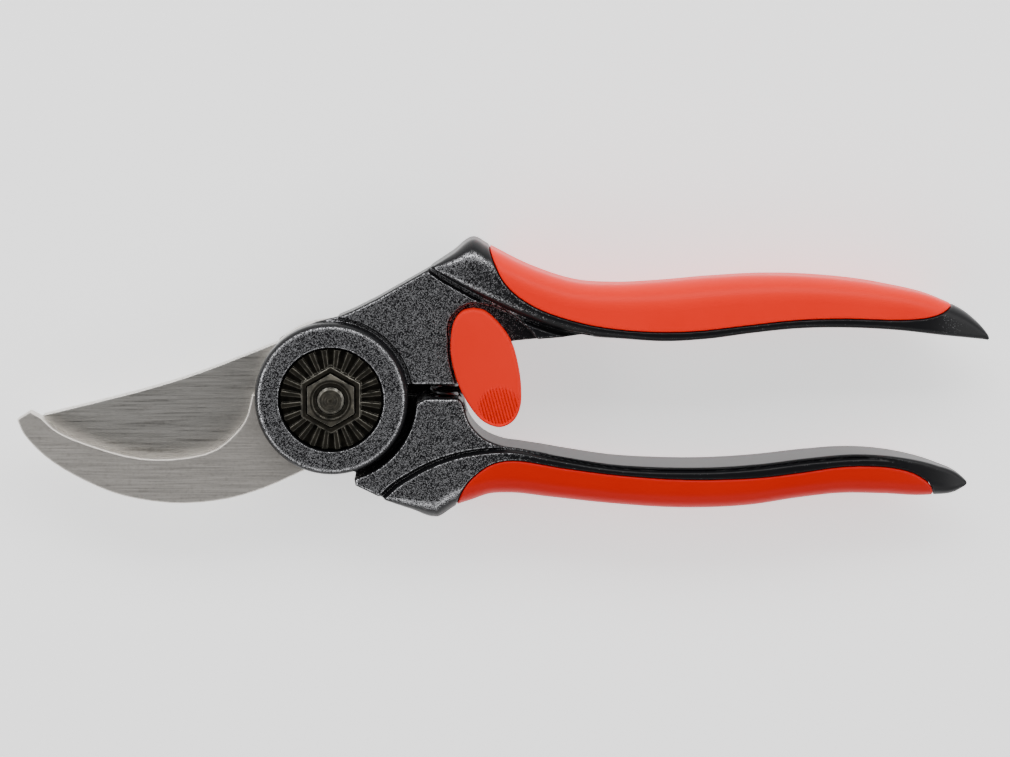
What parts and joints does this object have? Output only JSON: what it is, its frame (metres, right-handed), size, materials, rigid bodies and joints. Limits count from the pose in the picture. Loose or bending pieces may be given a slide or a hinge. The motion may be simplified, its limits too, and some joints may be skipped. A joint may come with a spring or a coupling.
{
  "type": "pruning shears",
  "caption": "Bypass pruning shears with a curved hook, a cutting blade, a tension dial, moulded grips and a side thumb latch.",
  "frame": {"origin": "on the pivot axis, at the flat back face of the pivot bolt's head", "axes": "+X towards the ends of the handles, +Y towards the handle that carries the hook, +Z out of the nut side along the pivot"},
  "size_m": [0.2086, 0.0604, 0.0197],
  "materials": {
    "powder_coat": "satin charcoal powder coat with a fine silver speckle",
    "upper_grip_plastic": "satin orange-red moulded grip",
    "lower_grip_plastic": "satin deep red moulded grip",
    "latch_plastic": "matte orange-red moulding with a finely ribbed thumb pad",
    "hook_steel": "satin ground steel, warm grey",
    "blade_steel": "ground steel with lengthwise grinding lines",
    "blackened_steel": "oiled black oxide, worn bright on the corners",
    "spring_steel": "plain drawn spring steel",
    "bearing_bronze": "plain sintered bronze"
  },
  "bodies": {
    "upper_handle": {"upper_frame": "powder_coat", "upper_grip": "upper_grip_plastic", "hook_blade": "hook_steel", "hook_screw_1": "blackened_steel", "hook_screw_2": "blackened_steel", "pivot_bolt": "blackened_steel", "pivot_bush": "bearing_bronze", "back_washer": "spring_steel", "latch_pin": "spring_steel", "latch_washer": "spring_steel", "opening_spring": "spring_steel"},
    "adjuster": {"dial_washer": "spring_steel", "tension_dial": "blackened_steel", "lock_nut": "blackened_steel"},
    "latch": {"thumb_latch": "latch_plastic"},
    "lower_handle": {"lower_frame": "powder_coat", "lower_grip": "lower_grip_plastic", "cutting_blade": "blade_steel", "blade_screw_1": "blackened_steel", "blade_screw_2": "blackened_steel"}
  },
  "joints": [
    {"name": "handle_pivot", "type": "hinge", "parent": "upper_handle", "child": "lower_handle", "pos_m": [0, 0, 0.0102], "axis": [0, 0, -1], "range_deg": [0, 36], "deforming": ["opening_spring"]},
    {"name": "latch_swing", "type": "hinge", "parent": "upper_handle", "child": "latch", "pos_m": [0.0308, 0.0135, 0.0147], "axis": [0, 0, 1], "range_deg": [0, 28]},
    {"name": "tension_adjust", "type": "hinge", "parent": "upper_handle", "child": "adjuster", "pos_m": [0, 0, 0.0157], "axis": [0, 0, 1], "range_deg": [-45, 45]}
  ]
}
